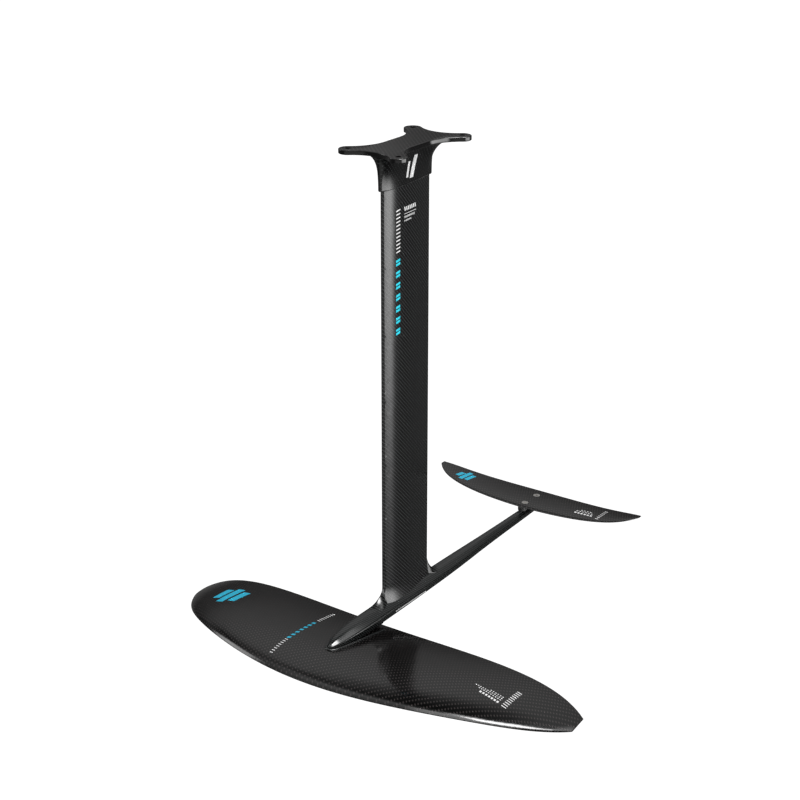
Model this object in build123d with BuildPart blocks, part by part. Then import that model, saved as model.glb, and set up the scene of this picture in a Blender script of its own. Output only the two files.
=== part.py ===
"""Hydrofoil for a board: mast with its board plate, fuselage, front wing and stabiliser.

Millimetres.  The origin is the centre of the four board holes, on the top face of the board
plate.  +X points forward to the nose, +Y to port and +Z up to the board.
"""
from build123d import *
from math import cos, pi, radians, sin, sqrt
import os

# ---- board plate and collar ------------------------------------------------------------
HOLE_SPACING_X = 165.0      # along the two tracks of the board
HOLE_SPACING_Y = 90.0       # from track to track
HOLE_D = 8.5                # clears an M8 screw
HOLE_SINK_D = 17.0          # countersink on the underside
PAD_R = 14.0                # round end of each arm, about its hole
PLATE_T = 7.3
PLATE_RIM = 1.2             # chamfer of the plate's rim
WAIST_HALF_Y = 26.0         # half width at the middle of the long sides
WAIST_FLAT = 20.0           # straight run each way from the middle of the long sides
WAIST_HALF_X = 80.0         # half length at the middle of the short ends
COLLAR_H = 62.0             # from the top face down to the collar's lower edge
COLLAR_NOSE = 5.4           # how far the collar stands out from the mast, at its leading edge
COLLAR_TAIL = 6.2           # at its trailing edge
COLLAR_SIDE = 1.4           # and at each side
COLLAR_REACH = (0.85, 0.2)  # how far, and how steeply, its flare runs out along the front arms
COLLAR_REACH_AFT = (0.85, 0.4)      # and along the aft arms
COLLAR_CUT = 0.985          # the flare's curve stops here, short of level
COLLAR_STATIONS = (0.0, 0.35, 0.62, 0.8, 0.91, 0.97, 1.0)   # shares of its height
SOCKET_DEPTH = 49.0         # how far the mast goes up into the collar
BOND_GAP = 0.1              # glue line between bonded pieces

# ---- mast --------------------------------------------------------------------------------
MAST_H = 735.0              # from the top face of the plate to the top of the fuselage
MAST_LE_X = 62.4
MAST_CHORD = 124.0
MAST_HALF_T = 7.8
MAST_WALL = 3.0
FOOT_H = 88.0               # height of the flare at the foot
FOOT_SINK = 3.0             # how far the flare's sides run down past the top of the fuselage
FOOT_NOSE_GROW = 45.0       # how far the flare runs forward along the crown
FOOT_TAIL_GROW = 24.0       # how far it runs aft
FOOT_SIDE_GROW = 2.4        # how far each side spreads
FOOT_NOSE_BEND = 7.0        # the higher, the lower down the flare starts
FOOT_TAIL_BEND = 2.0
FOOT_SIDE_BEND = 4.0
FOOT_STATIONS = (1.0, 0.95, 0.9, 0.8, 0.6, 0.3, 0.0)        # shares of its height, from below

# ---- fuselage: its crown is flat, at the foot of the mast --------------------------------
CROWN_Z = -MAST_H
SEAM_X = 84.0               # where the nose starts
NOSE_X = 204.0              # tip of the nose
TAIL_X = -432.0
FUSE_HALF_W = 17.0          # at the seam
TAIL_HALF_W = 8.5           # at the tail
FUSE_DEPTH = 28.5           # at the seam
TAIL_DEPTH = 12.4
DEPTH_BEND = 0.7            # below 1 the depth grows quickly from the tail and then slowly
WIDTH_STATIONS = ((0.0, 0.0), (0.15, 0.06), (0.3, 0.2), (0.45, 0.45),
                  (0.55, 0.7), (0.63, 0.92), (1.0, 1.0))    # share of the length, of the widening
NOSE_STEP = 1.5             # how much deeper the nose is than the fuselage
NOSE_BEND = 3.2             # the higher, the nearer to its tip the nose narrows
NOSE_CUT = 0.985            # the narrowing curve stops here, so that the tip is blunt
NOSE_CROWN_SHARE = 0.5      # share of the narrowing depth that comes off the crown
NOSE_KEEL_SHARE = 0.3       # and off the whole depth
NOSE_STATIONS = (0.0, 0.3, 0.5, 0.65, 0.77, 0.87, 0.94, 0.985, 1.0)
CROWN_SHARE = 0.4           # the cross-section's flat crown over its width
KEEL_SHARE = 0.55           # its flat keel over its width
SHOULDER_SHARE = 0.36       # how far the upper facets come down, over the depth
CHINE_SHARE = 0.26          # how far the lower facets go up
FUSE_WALL = 2.5
TAIL_BLOCK_L = 84.0

# ---- front wing --------------------------------------------------------------------------
WING_HALF_SPAN = 371.0
WING_AHEAD = 75.3           # from the tip of the nose to the leading edge
WING_CHORD = 211.4          # at the root
WING_DROP = 37.5            # from the fuselage's crown down to the chord line
WING_THICK = 0.124          # share of the chord, root
WING_THICK_TIP = 0.099
WING_CAMBER = 0.024
WING_WASHOUT = 6.4          # degrees, nose down at the tip
WING_SWEEP = 147.0          # how far the leading edge runs back, gently over the span
WING_TIP_ROUND = 33.0       # and quickly at the tip
WING_TE_SWEEP = 24.0        # how far the trailing edge runs back
WING_TE_TIP = 19.5          # and forward again at the tip
WING_CURVE = 10.7           # how far the span curves down, gently
WING_CURVE_TIP = 37.4       # and more steeply outboard
WING_SKIN = 1.5
WING_CORE_SPAN = 0.88       # share of the half span that has a core

# ---- seat of the nose in the wing ----------------------------------------------------------
SEAT_GAP = 0.3
RIM_W = 4.0                 # width of the raised rim round the nose
RIM_H = 2.0                 # its height above the wing
WING_SCREW_COUNT = 3
WING_SCREW_PITCH = 33.0
WING_SCREW_SETBACK = 40.0   # from the tip of the nose to the first screw
WING_SCREW_D = 8.0
WING_SCREW_HEAD_D = 16.0
WING_INSERT_D = 11.0
WING_INSERT_L = 14.0
WING_INSERT_RECESS = 2.0    # from the nose's keel up to the inserts
WING_SCREW_PAST = 2.0       # how far the screws run through their inserts

# ---- stabiliser ----------------------------------------------------------------------------
STAB_HALF_SPAN = 206.0
STAB_CHORD = 78.9
STAB_PAST = 5.4             # how far its trailing edge runs past the tail
STAB_LIFT = 6.3             # from the fuselage's crown up to the chord line
STAB_THICK = 0.111
STAB_THICK_TIP = 0.089
STAB_SWEEP = 30.0
STAB_TIP_ROUND = 22.0
STAB_TE_SWEEP = -8.4
STAB_TE_TIP = 8.0
STAB_CURVE = -3.3
STAB_CURVE_TIP = -11.0
STAB_SKIN = 0.9
STAB_CORE_SPAN = 0.86
SHIM_T = 1.2
STAB_BLOCK_L = 78.0
STAB_BLOCK_W = 15.0
STAB_SCREW_PITCH = 40.0
STAB_SCREW_SETBACK = 21.0   # from the tail to the aft screw
STAB_SCREW_D = 6.0
STAB_SCREW_HEAD_D = 12.0
TAIL_INSERT_D = 8.6
TAIL_INSERT_L = 9.0
STAB_SCREW_PAST = 0.5

# ---- fits of the fasteners -----------------------------------------------------------------
THREAD_GAP = 0.06           # radial gap of a screw in its insert
SHANK_GAP = 0.3             # radial gap of a screw in a plain hole
HEAD_GAP = 0.3              # radial gap of a screw head in its countersink
HEAD_RELIEF = 4.0           # how far a countersink goes on outwards, through the sloping skin
SOCKET_R_SHARE = 0.36       # corner radius of a screw's hexagon socket over its shank's diameter
SOCKET_DEPTH_SHARE = 0.7    # depth of a screw's hexagon socket over the head's height
PARTING = -0.012            # the lower skins start just under the camber line
FOIL_POINTS = 13            # points along each surface of an aerofoil section

MAST_TE_X = MAST_LE_X - MAST_CHORD
WING_LE_X = NOSE_X + WING_AHEAD
STAB_LE_X = TAIL_X - STAB_PAST + STAB_CHORD


# ---- shapes that several pieces share --------------------------------------------------------
def foil(share):
    """Half thickness of the aerofoil over its greatest thickness, at a share of the chord."""
    curve = 0.2969 * sqrt(share) - 0.1260 * share - 0.3516 * share**2
    return 5 * (curve + 0.2843 * share**3 - 0.1015 * share**4)


def camber_line(share, peak=0.4):
    """Height of the camber line over its greatest height, at a share of the chord."""
    if share < peak:
        return (2 * peak * share - share**2) / peak**2
    return (1 - 2 * peak + 2 * peak * share - share**2) / (1 - peak) ** 2


def chord_shares(start=0.0, end=1.0):
    """Shares of the chord, closer together towards both ends."""
    steps = [(1 - cos(pi * k / (FOIL_POINTS - 1))) / 2 for k in range(FOIL_POINTS)]
    return [start + (end - start) * step for step in steps]


def flare(share, power, bend=0.5):
    """Rises from 0 to 1, slowly at first and ending steeply."""
    return 1 - (1 - share**power) ** bend


def span_plane(y):
    """Plane at span y: its local x is +X and its local y is +Z."""
    return Plane(origin=(0, y, 0), x_dir=(1, 0, 0), z_dir=(0, -1, 0))


def length_plane(x):
    """Plane at length x: its local x is +Y and its local y is +Z."""
    return Plane(origin=(x, 0, 0), x_dir=(0, 1, 0), z_dir=(1, 0, 0))


def strut_side(le_x, te_x, half_t, side=1):
    """Points of one side of an upright symmetrical aerofoil, from its nose to its tail."""
    return [
        (le_x + (te_x - le_x) * share, side * 2 * half_t * foil(share))
        for share in chord_shares()
    ]


def strut(le_x, te_x, half_t, sides=(1, -1)):
    """Sketch of an upright aerofoil, whole or, with sides of (1,), only its port half."""
    with BuildSketch() as section:
        with BuildLine():
            edges = [Spline(*strut_side(le_x, te_x, half_t, side)) for side in sides]
            if len(edges) == 2:
                Line(edges[0] @ 1, edges[1] @ 1)
            else:
                Polyline(edges[0] @ 1, (te_x, 0), (le_x, 0))
        make_face()
    return section.sketch


class Blade:
    """A wing, mirrored about y = 0 and made of aerofoil sections across its span."""

    def __init__(self, half_span, le_x, chord, ref_z, thick, thick_tip, camber, washout,
                 sweep, tip_round, te_sweep, te_tip, curve, curve_tip):
        self.half_span, self.le_x, self.chord, self.ref_z = half_span, le_x, chord, ref_z
        self.thick, self.thick_tip, self.camber, self.washout = thick, thick_tip, camber, washout
        self.sweep, self.tip_round = sweep, tip_round
        self.te_sweep, self.te_tip = te_sweep, te_tip
        self.curve, self.curve_tip = curve, curve_tip

    def edges(self, y):
        """x of the leading and of the trailing edge at span y."""
        out = abs(y) / self.half_span
        le_x = self.le_x - self.sweep * out**2 - self.tip_round * out**10
        te_x = self.le_x - self.chord - self.te_sweep * out**2 + self.te_tip * out**10
        return le_x, te_x

    def point(self, y, share, side, inset=0.0):
        """(x, z) at span y; side is 1 on top, -1 underneath and 0 on the camber line."""
        out = abs(y) / self.half_span
        le_x, te_x = self.edges(y)
        chord = le_x - te_x
        thick = (self.thick + (self.thick_tip - self.thick) * out**2) * chord
        rise = self.camber * chord * camber_line(share) + side * (foil(share) * thick - inset)
        twist = radians(self.washout) * out**2
        aft = (share - 0.3) * chord
        ref_z = self.ref_z - self.curve * out**2 - self.curve_tip * out**4
        return le_x - 0.3 * chord - aft * cos(twist), ref_z + rise + aft * sin(twist)

    def height(self, x, side):
        """z of the root section's upper (1) or lower (-1) surface at length x."""
        return self.point(0, (self.le_x - x) / self.chord, side)[1]

    def solid(self, top, bottom, start=0.0, end=1.0, span=1.0, insets=(0.0, 0.0)):
        """Solid between two of the sections' lines, across a share of the span."""
        stations = (0, 0.22, 0.42, 0.6, 0.75, 0.87, 0.95, 1)
        spread = [-s for s in stations[:0:-1]] + list(stations)
        shares = chord_shares(start, end)
        with BuildPart() as blade:
            for y in (self.half_span * span * s for s in spread):
                with BuildSketch(span_plane(y)):
                    with BuildLine():
                        upper = Spline(*(self.point(y, s, top, insets[0]) for s in shares))
                        lower = Spline(*(self.point(y, s, bottom, insets[1]) for s in shares))
                        Line(upper @ 1, lower @ 1)
                        if start > 0:
                            Line(upper @ 0, lower @ 0)
                    make_face()
            loft()
        return blade.part


def fuselage_corners(half_w, depth, crown_drop=0.0, grow=0.0, port_only=False):
    """(y, z) corners of the fuselage's eight-sided cross-section, from its crown round."""
    top = CROWN_Z - crown_drop + grow
    keel = CROWN_Z - depth - grow
    side = half_w + grow
    shoulder = top - SHOULDER_SHARE * (top - keel)
    chine = keel + CHINE_SHARE * (top - keel)
    port = [(CROWN_SHARE * side, top), (side, shoulder), (side, chine), (KEEL_SHARE * side, keel)]
    if port_only:
        return [(0, top)] + port + [(0, keel)]
    return port + [(-y, z) for y, z in reversed(port)]


def body_stations():
    """(x, half width, depth, crown drop) of the fuselage, from its tail to the seam."""
    for share, widening in WIDTH_STATIONS:
        x = TAIL_X + (SEAM_X - TAIL_X) * share
        half_w = TAIL_HALF_W + (FUSE_HALF_W - TAIL_HALF_W) * widening
        yield x, half_w, TAIL_DEPTH + (FUSE_DEPTH - TAIL_DEPTH) * share**DEPTH_BEND, 0.0


def nose_stations():
    """(x, half width, depth, crown drop) of the nose, from the seam to its tip."""
    depth = FUSE_DEPTH + NOSE_STEP
    for share in NOSE_STATIONS:
        x = SEAM_X + (NOSE_X - SEAM_X) * share
        narrow = sqrt(1 - (NOSE_CUT * share) ** NOSE_BEND)
        lost = depth * (1 - narrow)
        yield x, FUSE_HALF_W * narrow, depth - NOSE_KEEL_SHARE * lost, NOSE_CROWN_SHARE * lost


def spindle(stations, grow=0.0, port_only=False):
    """Solid through the fuselage's cross-sections at the stations."""
    with BuildPart() as body:
        for x, half_w, depth, drop in stations:
            with BuildSketch(length_plane(x)):
                with BuildLine():
                    Polyline(*fuselage_corners(half_w, depth, drop, grow, port_only), close=True)
                make_face()
        loft(ruled=True)
    return body.part


def bars(centres, radius, bottom_z, top_z):
    """Upright round bars at (x, 0) places."""
    with BuildPart() as group:
        with BuildSketch(Plane.XY.offset(bottom_z)):
            with Locations(*((x, 0) for x in centres)):
                Circle(radius)
        extrude(amount=top_z - bottom_z)
    return group.part


def mirror_to_starboard(part):
    """The same piece on the other side of the foil."""
    with BuildPart() as twin:
        add(mirror(part, about=Plane.XZ))
    return twin.part


def save(part, label):
    """Name a finished piece and write it out."""
    part.label = label
    export_step(part, f"parts/{label}.step")


# ---- board plate with its collar -------------------------------------------------------------
def tangent_arc_radius(gap_x, gap_y):
    """Radius of the scallop that passes a waist and meets the pads' circles.

    gap_x and gap_y run from the arc's end of the straight waist to the centre of the pad.
    """
    return (gap_x**2 + gap_y**2 - PAD_R**2) / (2 * (gap_y + PAD_R))


def plate_quarter():
    """Lines of one quarter of the plate's outline, from its long side to its short end."""
    pad = Vector(HOLE_SPACING_X / 2, HOLE_SPACING_Y / 2)
    side_r = tangent_arc_radius(pad.X - WAIST_FLAT, pad.Y - WAIST_HALF_Y)
    end_r = tangent_arc_radius(pad.Y, pad.X - WAIST_HALF_X)
    side_centre = Vector(WAIST_FLAT, WAIST_HALF_Y + side_r)
    end_centre = Vector(WAIST_HALF_X + end_r, 0)
    start = Vector(WAIST_FLAT, WAIST_HALF_Y)
    finish = Vector(WAIST_HALF_X, 0)
    side_touch = pad + (side_centre - pad).normalized() * PAD_R
    end_touch = pad + (end_centre - pad).normalized() * PAD_R
    side_mid = side_centre + ((start + side_touch) * 0.5 - side_centre).normalized() * side_r
    end_mid = end_centre + ((finish + end_touch) * 0.5 - end_centre).normalized() * end_r
    pad_mid = pad + (pad - (side_touch + end_touch) * 0.5).normalized() * PAD_R
    Line((0, WAIST_HALF_Y), start)
    ThreePointArc(start, side_mid, side_touch)
    ThreePointArc(side_touch, pad_mid, end_touch)
    ThreePointArc(end_touch, end_mid, finish)


def collar_ring(t):
    """Points round the collar at share t of its height, from the mast's section to the arms."""
    le_x = MAST_LE_X + COLLAR_NOSE
    te_x = MAST_TE_X - COLLAR_TAIL
    half_t = MAST_HALF_T + COLLAR_SIDE
    pad_x = HOLE_SPACING_X / 2
    pad_y = HOLE_SPACING_Y / 2
    arm = ((0.0, WAIST_HALF_X), (0.45 * pad_y, 1.03 * WAIST_HALF_X), (1.1 * pad_y, pad_x + PAD_R / 2),
           (1.05 * pad_y, 0.8 * pad_x), (WAIST_HALF_Y, 0.35 * pad_x), (WAIST_HALF_Y, 0.1 * pad_x))
    shares = (0.0, 0.012, 0.045, 0.12, 0.3, 0.45)
    quarters = []
    for end, (reach_share, bend) in ((1, COLLAR_REACH), (-1, COLLAR_REACH_AFT)):
        reach = reach_share * flare(COLLAR_CUT * t, 2, bend)
        ring = []
        for (arm_y, arm_x), share in zip(arm, shares):
            x = le_x + (te_x - le_x) * share if end > 0 else te_x + (le_x - te_x) * share
            y = 2 * half_t * foil((le_x - x) / (le_x - te_x))
            if share == 0.0:
                y = 0.0
            ring.append((x + (end * arm_x - x) * reach, y + (arm_y - y) * reach))
        quarters.append(ring)
    port = quarters[0] + quarters[1][::-1]
    return port + [(x, -y) for x, y in port[-2:0:-1]]


with BuildPart() as head_plate:
    with BuildSketch(Plane.XY.offset(-PLATE_T)):
        with BuildLine() as outline:
            plate_quarter()
            mirror(about=Plane.YZ)
            mirror(about=Plane.XZ)
        make_face()
    extrude(amount=PLATE_T)
    rims = [head_plate.faces().sort_by(Axis.Z)[k].outer_wire().edges() for k in (0, -1)]
    chamfer(rims[0] + rims[1], PLATE_RIM)
    with Locations(Plane.XY.offset(-PLATE_T) * Rotation(180, 0, 0)):
        with GridLocations(HOLE_SPACING_X, HOLE_SPACING_Y, 2, 2):
            CounterSinkHole(HOLE_D / 2, HOLE_SINK_D / 2)
    for t in COLLAR_STATIONS:
        with BuildSketch(Plane.XY.offset(-COLLAR_H + (COLLAR_H - PLATE_T) * t)):
            with BuildLine():
                Spline(*collar_ring(t), periodic=True)
            make_face()
    loft()
    with BuildSketch(Plane.XY.offset(-COLLAR_H)):
        add(strut(MAST_LE_X + BOND_GAP, MAST_TE_X - BOND_GAP, MAST_HALF_T + BOND_GAP))
    extrude(amount=SOCKET_DEPTH, mode=Mode.SUBTRACT)

# ---- fuselage --------------------------------------------------------------------------------
body = spindle(body_stations())
body_inside = spindle(body_stations(), grow=-FUSE_WALL)
nose_solid = spindle(nose_stations())
block_front_x = TAIL_X + TAIL_BLOCK_L
screw_xs = [NOSE_X - WING_SCREW_SETBACK - k * WING_SCREW_PITCH for k in range(WING_SCREW_COUNT)]
nose_keel_z = CROWN_Z - FUSE_DEPTH - NOSE_STEP
insert_top_z = nose_keel_z + WING_INSERT_RECESS + WING_INSERT_L
wing_screw_tip_z = insert_top_z + WING_SCREW_PAST
tail_screw_xs = [TAIL_X + STAB_SCREW_SETBACK + k * STAB_SCREW_PITCH for k in (0, 1)]
tail_insert_z = CROWN_Z - TAIL_INSERT_L

with BuildPart() as fuselage_shell_port:
    add(spindle(body_stations(), port_only=True))
    add(body_inside, mode=Mode.SUBTRACT)
    add(bars(tail_screw_xs, TAIL_INSERT_D / 2 + BOND_GAP, tail_insert_z, CROWN_Z + 1),
        mode=Mode.SUBTRACT)
fuselage_shell_starboard = mirror_to_starboard(fuselage_shell_port.part)

with BuildPart() as fuselage_core:
    add(body_inside)
    split(bisect_by=Plane.YZ.offset(block_front_x), keep=Keep.TOP)

with BuildPart() as tail_block:
    add(body_inside)
    split(bisect_by=Plane.YZ.offset(block_front_x), keep=Keep.BOTTOM)
    add(bars(tail_screw_xs, TAIL_INSERT_D / 2 + BOND_GAP, tail_insert_z, CROWN_Z),
        mode=Mode.SUBTRACT)

with BuildPart() as tail_inserts:
    add(bars(tail_screw_xs, TAIL_INSERT_D / 2, tail_insert_z, CROWN_Z))
    add(bars(tail_screw_xs, STAB_SCREW_D / 2 + THREAD_GAP, tail_insert_z, CROWN_Z),
        mode=Mode.SUBTRACT)

with BuildPart() as fuselage_nose:
    add(nose_solid)
    add(bars(screw_xs, WING_INSERT_D / 2 + BOND_GAP, nose_keel_z - 1, insert_top_z),
        mode=Mode.SUBTRACT)
    add(bars(screw_xs, WING_SCREW_D / 2 + SHANK_GAP, insert_top_z, wing_screw_tip_z + 1),
        mode=Mode.SUBTRACT)

with BuildPart() as wing_inserts:
    add(bars(screw_xs, WING_INSERT_D / 2, insert_top_z - WING_INSERT_L, insert_top_z))
    add(bars(screw_xs, WING_SCREW_D / 2 + THREAD_GAP, insert_top_z - WING_INSERT_L, insert_top_z),
        mode=Mode.SUBTRACT)

# ---- mast --------------------------------------------------------------------------------
mast_top_z = SOCKET_DEPTH - COLLAR_H
foot_top_z = CROWN_Z - FOOT_SINK + FOOT_H

with BuildPart() as mast_core:
    with BuildSketch(Plane.XY.offset(foot_top_z)):
        add(strut(MAST_LE_X - 2 * MAST_WALL, MAST_TE_X + 5 * MAST_WALL, MAST_HALF_T - MAST_WALL))
    extrude(amount=mast_top_z - foot_top_z)

with BuildPart() as mast_shell_port:
    with BuildSketch(Plane.XY.offset(foot_top_z)):
        add(strut(MAST_LE_X, MAST_TE_X, MAST_HALF_T, sides=(1,)))
    extrude(amount=mast_top_z - foot_top_z)
    add(mast_core.part, mode=Mode.SUBTRACT)
mast_shell_starboard = mirror_to_starboard(mast_shell_port.part)

with BuildPart() as mast_foot:
    for t in FOOT_STATIONS:
        crown_t = min(1.0, t * FOOT_H / (FOOT_H - FOOT_SINK))
        with BuildSketch(Plane.XY.offset(foot_top_z - FOOT_H * t)):
            add(strut(MAST_LE_X + FOOT_NOSE_GROW * flare(crown_t, FOOT_NOSE_BEND),
                      MAST_TE_X - FOOT_TAIL_GROW * flare(crown_t, FOOT_TAIL_BEND),
                      MAST_HALF_T + FOOT_SIDE_GROW * flare(t, FOOT_SIDE_BEND)))
    loft()
    add(body, mode=Mode.SUBTRACT)
    add(nose_solid, mode=Mode.SUBTRACT)

# ---- front wing --------------------------------------------------------------------------
WING = Blade(WING_HALF_SPAN, WING_LE_X, WING_CHORD, CROWN_Z - WING_DROP, WING_THICK,
             WING_THICK_TIP, WING_CAMBER, WING_WASHOUT, WING_SWEEP, WING_TIP_ROUND,
             WING_TE_SWEEP, WING_TE_TIP, WING_CURVE, WING_CURVE_TIP)
nose_room = spindle(nose_stations(), grow=SEAT_GAP)
wing_hollow = WING.solid(1, -1, 0.03, 0.8, WING_CORE_SPAN, (WING_SKIN, WING_SKIN))


def countersunk(centres, head_d, shank_d, head_zs, tip_z):
    """Countersunk screws along Z, heads flush at head_zs, tips at tip_z."""
    away = 1 if tip_z > head_zs[0] else -1
    head_h = (head_d - shank_d) / 2
    with BuildPart() as screws:
        for x, head_z in zip(centres, head_zs):
            with BuildSketch(Plane.XZ):
                with BuildLine():
                    Polyline((x, head_z), (x + head_d / 2, head_z),
                             (x + shank_d / 2, head_z + away * head_h),
                             (x + shank_d / 2, tip_z), (x, tip_z), close=True)
                make_face()
            revolve(axis=Axis((x, 0, 0), (0, 0, 1)))
            with BuildSketch(Plane.XY.offset(head_z).move(Location((x, 0, 0)))):
                RegularPolygon(shank_d * SOCKET_R_SHARE, 6)
            extrude(amount=away * SOCKET_DEPTH_SHARE * head_h, mode=Mode.SUBTRACT)
    return screws.part


def screw_room(centres, head_d, shank_d, head_zs, end_z):
    """Countersunk holes for such screws, open past their heads and as deep as end_z."""
    away = 1 if end_z > head_zs[0] else -1
    head_r = head_d / 2 + HEAD_GAP
    shank_r = shank_d / 2 + SHANK_GAP
    with BuildPart() as room:
        for x, head_z in zip(centres, head_zs):
            open_z = head_z - away * HEAD_RELIEF
            neck_z = head_z + away * (head_r - shank_r)
            with BuildSketch(Plane.XZ):
                with BuildLine():
                    Polyline((x, open_z), (x + head_r, open_z), (x + head_r, head_z),
                             (x + shank_r, neck_z), (x + shank_r, end_z), (x, end_z), close=True)
                make_face()
            revolve(axis=Axis((x, 0, 0), (0, 0, 1)))
    return room.part


wing_head_zs = [WING.height(x, -1) for x in screw_xs]
wing_screws = countersunk(screw_xs, WING_SCREW_HEAD_D, WING_SCREW_D, wing_head_zs, wing_screw_tip_z)
wing_screw_room = screw_room(screw_xs, WING_SCREW_HEAD_D, WING_SCREW_D, wing_head_zs, CROWN_Z)


def nose_outline(grow):
    """Plan outline of the nose at its widest, grown by a rim."""
    port = [(x, half_w + grow) for x, half_w, _, _ in nose_stations()]
    tip = (port[-1][0] + grow, 0)
    return port[:-1] + [tip] + [(x, -y) for x, y in port[-2::-1]]


with BuildPart() as block_column:
    with BuildSketch(Plane.XY.offset(CROWN_Z - 2 * WING_DROP)):
        with BuildLine():
            Polyline(*nose_outline(RIM_W), close=True)
        make_face()
    extrude(amount=2 * WING_DROP)

with BuildPart() as block_blank:
    add(block_column.part)
    add(WING.solid(1, -1, 0.1, 0.93, 0.1, (-RIM_H, WING_SKIN + BOND_GAP)), mode=Mode.INTERSECT)

with BuildPart() as wing_mount_block:
    add(block_blank.part)
    add(nose_room, mode=Mode.SUBTRACT)
    add(wing_screw_room, mode=Mode.SUBTRACT)

with BuildPart() as wing_skin_top:
    add(WING.solid(1, 0))
    for piece in (wing_hollow, block_blank.part, nose_room):
        add(piece, mode=Mode.SUBTRACT)

with BuildPart() as wing_skin_bottom:
    add(WING.solid(PARTING, -1))
    for piece in (wing_hollow, block_blank.part, wing_screw_room):
        add(piece, mode=Mode.SUBTRACT)

with BuildPart() as wing_core:
    add(wing_hollow)
    add(block_column.part, mode=Mode.SUBTRACT)

# ---- stabiliser ----------------------------------------------------------------------------
STAB = Blade(STAB_HALF_SPAN, STAB_LE_X, STAB_CHORD, CROWN_Z + STAB_LIFT, STAB_THICK,
             STAB_THICK_TIP, 0.0, 0.0, STAB_SWEEP, STAB_TIP_ROUND,
             STAB_TE_SWEEP, STAB_TE_TIP, STAB_CURVE, STAB_CURVE_TIP)
stab_seat_z = CROWN_Z + SHIM_T
stab_hollow = STAB.solid(1, -1, 0.04, 0.75, STAB_CORE_SPAN, (STAB_SKIN, STAB_SKIN))
stab_head_zs = [STAB.height(x, 1) for x in tail_screw_xs]
stab_screw_tip_z = CROWN_Z - TAIL_INSERT_L + STAB_SCREW_PAST
stabiliser_screws = countersunk(tail_screw_xs, STAB_SCREW_HEAD_D, STAB_SCREW_D, stab_head_zs,
                                stab_screw_tip_z)
stab_screw_room = screw_room(tail_screw_xs, STAB_SCREW_HEAD_D, STAB_SCREW_D, stab_head_zs,
                             stab_screw_tip_z)


def stab_pad(bottom_z, top_z):
    """Long pad with round ends, over the tail of the fuselage."""
    with BuildPart() as pad:
        with BuildSketch(Plane.XY.offset(bottom_z)):
            with Locations((TAIL_X + STAB_BLOCK_L / 2, 0)):
                SlotOverall(STAB_BLOCK_L, STAB_BLOCK_W)
        extrude(amount=top_z - bottom_z)
    return pad.part


stab_block_blank = stab_pad(stab_seat_z, CROWN_Z + STAB_LIFT)
with BuildPart() as stabiliser_mount_block:
    add(stab_block_blank)
    add(stab_screw_room, mode=Mode.SUBTRACT)

with BuildPart() as stabiliser_shim:
    add(stab_pad(CROWN_Z, stab_seat_z))
    add(stab_screw_room, mode=Mode.SUBTRACT)

with BuildPart() as stabiliser_skin_top:
    add(STAB.solid(1, 0))
    for piece in (stab_hollow, stab_block_blank, stab_screw_room):
        add(piece, mode=Mode.SUBTRACT)

with BuildPart() as stabiliser_skin_bottom:
    add(STAB.solid(PARTING, -1))
    for piece in (stab_hollow, stab_block_blank, stab_screw_room):
        add(piece, mode=Mode.SUBTRACT)

with BuildPart() as stabiliser_core:
    add(stab_hollow)
    for piece in (stab_block_blank, stab_screw_room):
        add(piece, mode=Mode.SUBTRACT)

# ---- written out ---------------------------------------------------------------------------
os.makedirs("parts", exist_ok=True)
PIECES = {
    "head_plate": head_plate.part,
    "mast_shell_port": mast_shell_port.part,
    "mast_shell_starboard": mast_shell_starboard,
    "mast_core": mast_core.part,
    "mast_foot": mast_foot.part,
    "fuselage_shell_port": fuselage_shell_port.part,
    "fuselage_shell_starboard": fuselage_shell_starboard,
    "fuselage_core": fuselage_core.part,
    "fuselage_nose": fuselage_nose.part,
    "wing_inserts": wing_inserts.part,
    "tail_block": tail_block.part,
    "tail_inserts": tail_inserts.part,
    "stabiliser_shim": stabiliser_shim.part,
    "wing_skin_top": wing_skin_top.part,
    "wing_skin_bottom": wing_skin_bottom.part,
    "wing_core": wing_core.part,
    "wing_mount_block": wing_mount_block.part,
    "wing_screws": wing_screws,
    "stabiliser_skin_top": stabiliser_skin_top.part,
    "stabiliser_skin_bottom": stabiliser_skin_bottom.part,
    "stabiliser_core": stabiliser_core.part,
    "stabiliser_mount_block": stabiliser_mount_block.part,
    "stabiliser_screws": stabiliser_screws,
}
for label, piece in PIECES.items():
    save(piece, label)
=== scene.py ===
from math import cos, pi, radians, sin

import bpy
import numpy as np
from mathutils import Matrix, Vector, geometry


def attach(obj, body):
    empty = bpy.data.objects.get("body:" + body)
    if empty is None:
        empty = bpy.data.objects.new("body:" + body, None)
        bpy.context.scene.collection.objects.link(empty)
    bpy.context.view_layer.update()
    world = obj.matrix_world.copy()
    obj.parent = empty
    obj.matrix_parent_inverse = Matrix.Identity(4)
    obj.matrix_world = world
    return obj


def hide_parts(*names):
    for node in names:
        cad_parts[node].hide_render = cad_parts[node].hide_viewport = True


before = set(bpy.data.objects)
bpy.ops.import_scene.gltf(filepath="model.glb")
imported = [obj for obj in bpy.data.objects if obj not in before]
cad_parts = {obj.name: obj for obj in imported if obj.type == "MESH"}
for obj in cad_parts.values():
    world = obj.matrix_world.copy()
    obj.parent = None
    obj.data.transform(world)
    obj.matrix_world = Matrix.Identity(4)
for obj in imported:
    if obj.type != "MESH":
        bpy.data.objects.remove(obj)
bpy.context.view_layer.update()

# %% [markdown]
# # A carbon hydrofoil
#
# A hydrofoil lifts a board out of the water.  A plate bolts to the board, a tall mast reaches
# down from it, and a slim fuselage at its foot carries a large front wing and a small
# stabiliser.  Nearly all of it is carbon cloth in clear resin: black, glossy and woven, so the
# weave and the reflections are the whole look.  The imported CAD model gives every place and
# size, and this lesson adds smooth outer skins, finishes, printed marks, light and a camera.

MM = 0.001

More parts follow.
